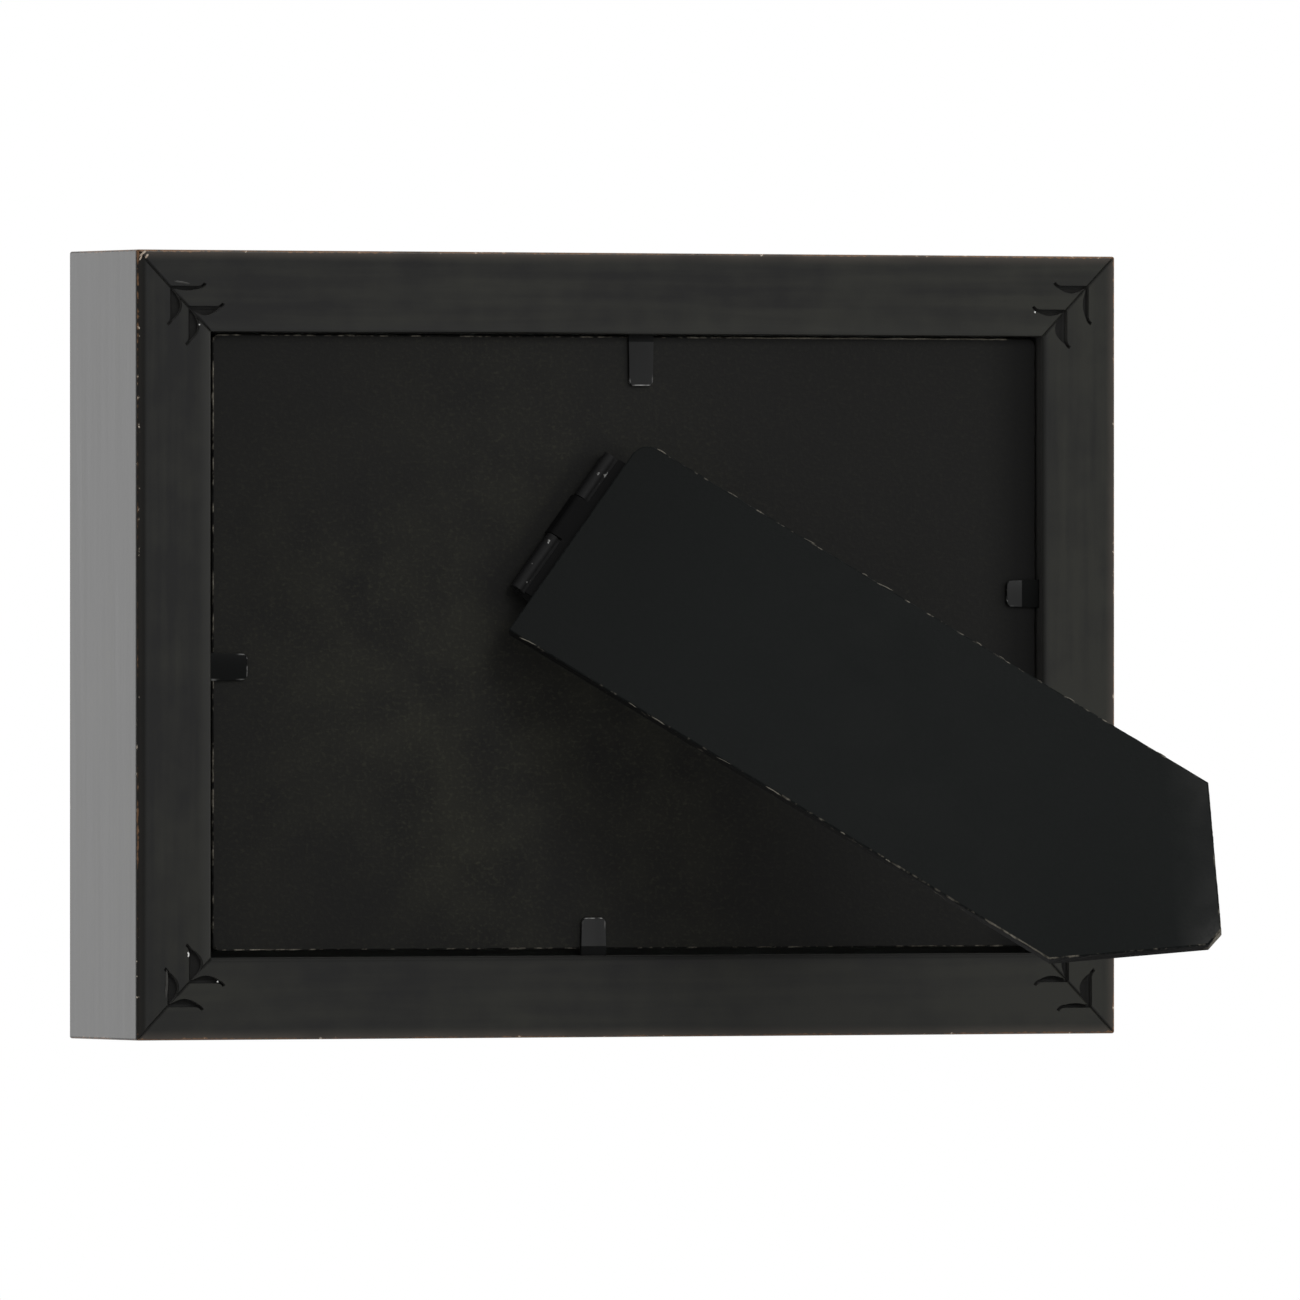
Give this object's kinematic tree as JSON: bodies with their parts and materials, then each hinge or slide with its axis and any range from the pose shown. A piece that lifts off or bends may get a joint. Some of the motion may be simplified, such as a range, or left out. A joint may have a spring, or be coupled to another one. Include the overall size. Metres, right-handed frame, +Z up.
{
  "type": "easel back photo frame",
  "caption": "Deep square-section photo frame with mitred black rails, glass, a hardboard back held by bendable tabs, and a hinged easel leg with a slanted foot.",
  "frame": {"origin": "on the table, under the middle of the standing frame's box", "axes": "+X to the right as seen from the front, +Y from the front to the leg, +Z up; the frame stands in landscape, leaning back 11 degrees on its rear bottom edge and the leg's foot"},
  "size_m": [0.18, 0.1064, 0.1326],
  "materials": {
    "black_wood": "satin black paint",
    "nail_steel": "dull dark steel",
    "clear_glass": "clear float glass",
    "blank_paper": "plain uncoated sheet",
    "black_hardboard": "matt black hardboard",
    "black_leg_board": "matt black covered hardboard with raw cut edges",
    "black_steel": "blackened strip",
    "hinge_steel": "blackened sheet",
    "pin_steel": "drawn wire"
  },
  "bodies": {
    "frame": {"rail_bottom": "black_wood", "rail_left": "black_wood", "rail_top": "black_wood", "rail_right": "black_wood", "v_nails_bottom_left": "nail_steel", "v_nails_top_left": "nail_steel", "v_nails_top_right": "nail_steel", "v_nails_bottom_right": "nail_steel", "glass_pane": "clear_glass", "print_sheet": "blank_paper", "backboard": "black_hardboard", "tab_bottom_shank": "black_steel", "tab_left_shank": "black_steel", "tab_top_shank": "black_steel", "tab_right_shank": "black_steel", "hinge_board_leaf": "hinge_steel", "hinge_pin": "pin_steel", "board_rivets": "hinge_steel"},
    "leg": {"easel_leg": "black_leg_board", "hinge_leg_leaf": "hinge_steel", "leg_rivets": "hinge_steel"},
    "tab_bottom": {"tab_bottom_blade": "black_steel"},
    "tab_left": {"tab_left_blade": "black_steel"},
    "tab_top": {"tab_top_blade": "black_steel"},
    "tab_right": {"tab_right_blade": "black_steel"}
  },
  "joints": [
    {"name": "leg_fold", "type": "hinge", "parent": "frame", "child": "leg", "pos_m": [0.0131, -0.011, 0.08224], "axis": [0.6157, -0.1517, -0.7733], "range_deg": [-34.8, 0]},
    {"name": "tab_bottom_bend", "type": "hinge", "parent": "frame", "child": "tab_bottom", "pos_m": [0.0061, -0.02567, 0.01409], "axis": [-1, 0, 0], "range_deg": [0, 90]},
    {"name": "tab_left_bend", "type": "hinge", "parent": "frame", "child": "tab_left", "pos_m": [-0.0759, -0.01422, 0.07248], "axis": [0, 0.1925, 0.9813], "range_deg": [0, 90]},
    {"name": "tab_top_bend", "type": "hinge", "parent": "frame", "child": "tab_top", "pos_m": [-0.00265, -0.00607, 0.11399], "axis": [1, 0, 0], "range_deg": [0, 90]},
    {"name": "tab_right_bend", "type": "hinge", "parent": "frame", "child": "tab_right", "pos_m": [0.0759, -0.01656, 0.0605], "axis": [0, -0.1925, -0.9813], "range_deg": [0, 90]}
  ]
}
